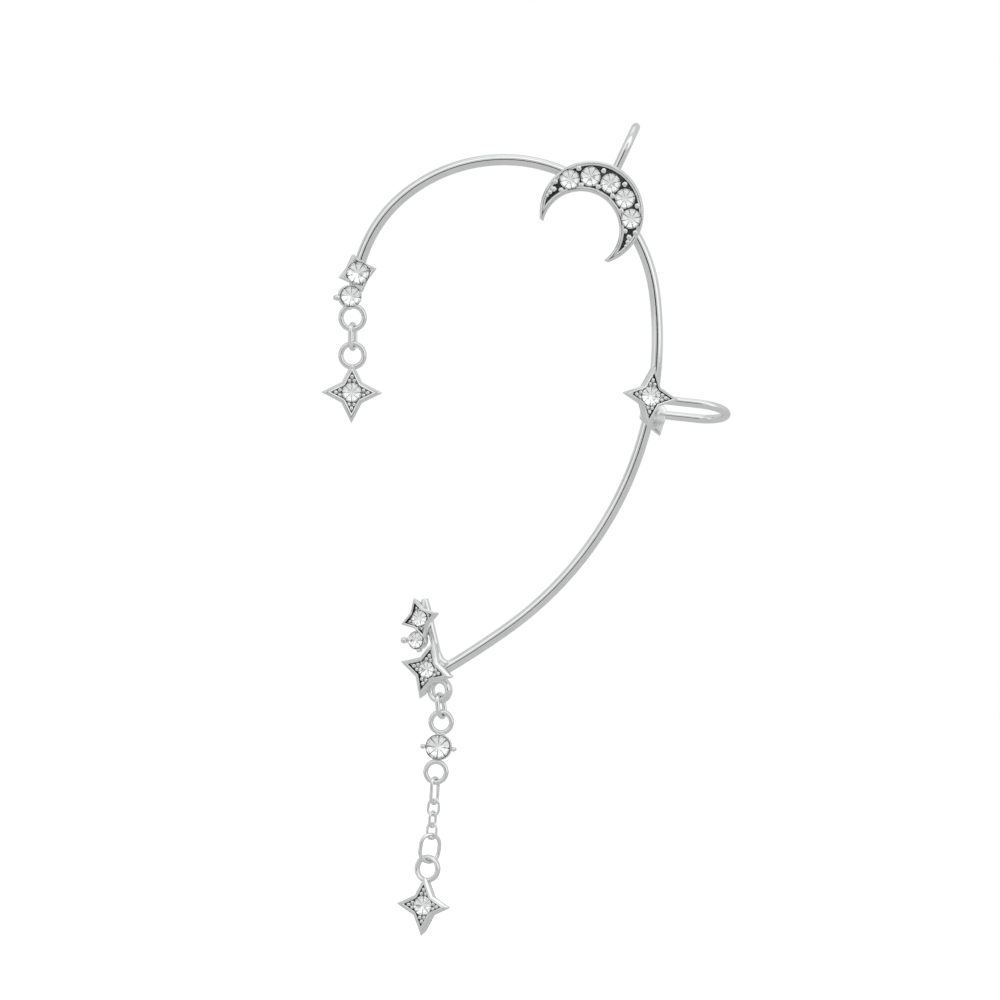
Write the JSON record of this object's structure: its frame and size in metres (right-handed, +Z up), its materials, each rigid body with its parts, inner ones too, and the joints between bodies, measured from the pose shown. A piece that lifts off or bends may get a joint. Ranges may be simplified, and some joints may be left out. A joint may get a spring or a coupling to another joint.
{
  "type": "ear cuff",
  "caption": "Ear cuff: a silver-tone wire that follows the ear, with a stone-set crescent and stars, two hooks over the ear's rim and two small hanging drops",
  "frame": {"origin": "inside of the wire's crown, where the cuff sits on the root of the ear", "axes": "+Z up as worn, +X away from the face, +Y towards the head; the stones face -Y"},
  "size_m": [0.0402, 0.0099, 0.0797],
  "materials": {
    "silver": "bright silver-tone plating over cast and drawn brass",
    "crystal": "clear cut glass with a bright foiled back"
  },
  "bodies": {
    "root": {"cuff_frame": "silver", "front_drop_link": "silver", "front_drop_star": "silver", "drop_top_link": "silver", "drop_connector": "silver", "chain_link_1": "silver", "chain_link_2": "silver", "chain_link_3": "silver", "chain_link_4": "silver", "drop_jump_ring": "silver", "drop_star": "silver", "crescent_stone_1": "crystal", "crescent_stone_2": "crystal", "crescent_stone_3": "crystal", "crescent_stone_4": "crystal", "crescent_stone_5": "crystal", "mid_star_stone": "crystal", "front_star_stone": "crystal", "front_claw_stone": "crystal", "front_drop_stone": "crystal", "lower_star_stone": "crystal", "lower_claw_stone": "crystal", "lower_big_star_stone": "crystal", "connector_stone": "crystal", "drop_star_stone": "crystal"}
  },
  "joints": []
}
